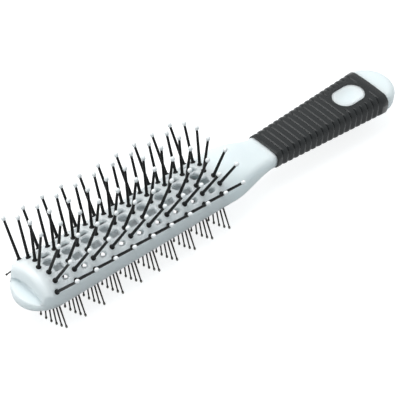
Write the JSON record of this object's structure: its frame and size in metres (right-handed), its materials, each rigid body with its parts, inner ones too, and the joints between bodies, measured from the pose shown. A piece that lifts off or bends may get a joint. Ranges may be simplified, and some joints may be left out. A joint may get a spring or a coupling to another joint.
{
  "type": "vent brush",
  "caption": "Two-sided vent hair brush with long ball-tipped pins on a slotted white crown, short bristles below and a ribbed rubber handle with a thumb window.",
  "frame": {"origin": "half way along the brush, on its middle plane, at the level of the lowest bristle ends", "axes": "+X from the head's tip to the handle's end, +Z from the short bristles to the long pins"},
  "size_m": [0.225, 0.0484, 0.0462],
  "materials": {
    "white_plastic": "satin pearl white",
    "plate_plastic": "satin white",
    "black_rubber": "matte moulded rubber",
    "pin_nylon": "smooth black nylon",
    "bead_resin": "glossy pale resin",
    "bristle_nylon": "smooth black nylon"
  },
  "bodies": {
    "root": {"frame": "white_plastic", "base_plate": "plate_plastic", "grip": "black_rubber", "pin_row_01": "pin_nylon", "pin_row_02": "pin_nylon", "pin_row_03": "pin_nylon", "pin_row_04": "pin_nylon", "pin_row_05": "pin_nylon", "pin_row_06": "pin_nylon", "pin_row_07": "pin_nylon", "pin_row_08": "pin_nylon", "pin_row_09": "pin_nylon", "pin_row_10": "pin_nylon", "pin_beads_01": "bead_resin", "pin_beads_02": "bead_resin", "pin_beads_03": "bead_resin", "pin_beads_04": "bead_resin", "pin_beads_05": "bead_resin", "pin_beads_06": "bead_resin", "pin_beads_07": "bead_resin", "pin_beads_08": "bead_resin", "pin_beads_09": "bead_resin", "pin_beads_10": "bead_resin", "bristle_row_01": "bristle_nylon", "bristle_row_02": "bristle_nylon", "bristle_row_03": "bristle_nylon", "bristle_row_04": "bristle_nylon", "bristle_row_05": "bristle_nylon", "bristle_row_06": "bristle_nylon", "bristle_row_07": "bristle_nylon", "bristle_row_08": "bristle_nylon", "bristle_row_09": "bristle_nylon", "bristle_row_10": "bristle_nylon"}
  },
  "joints": []
}
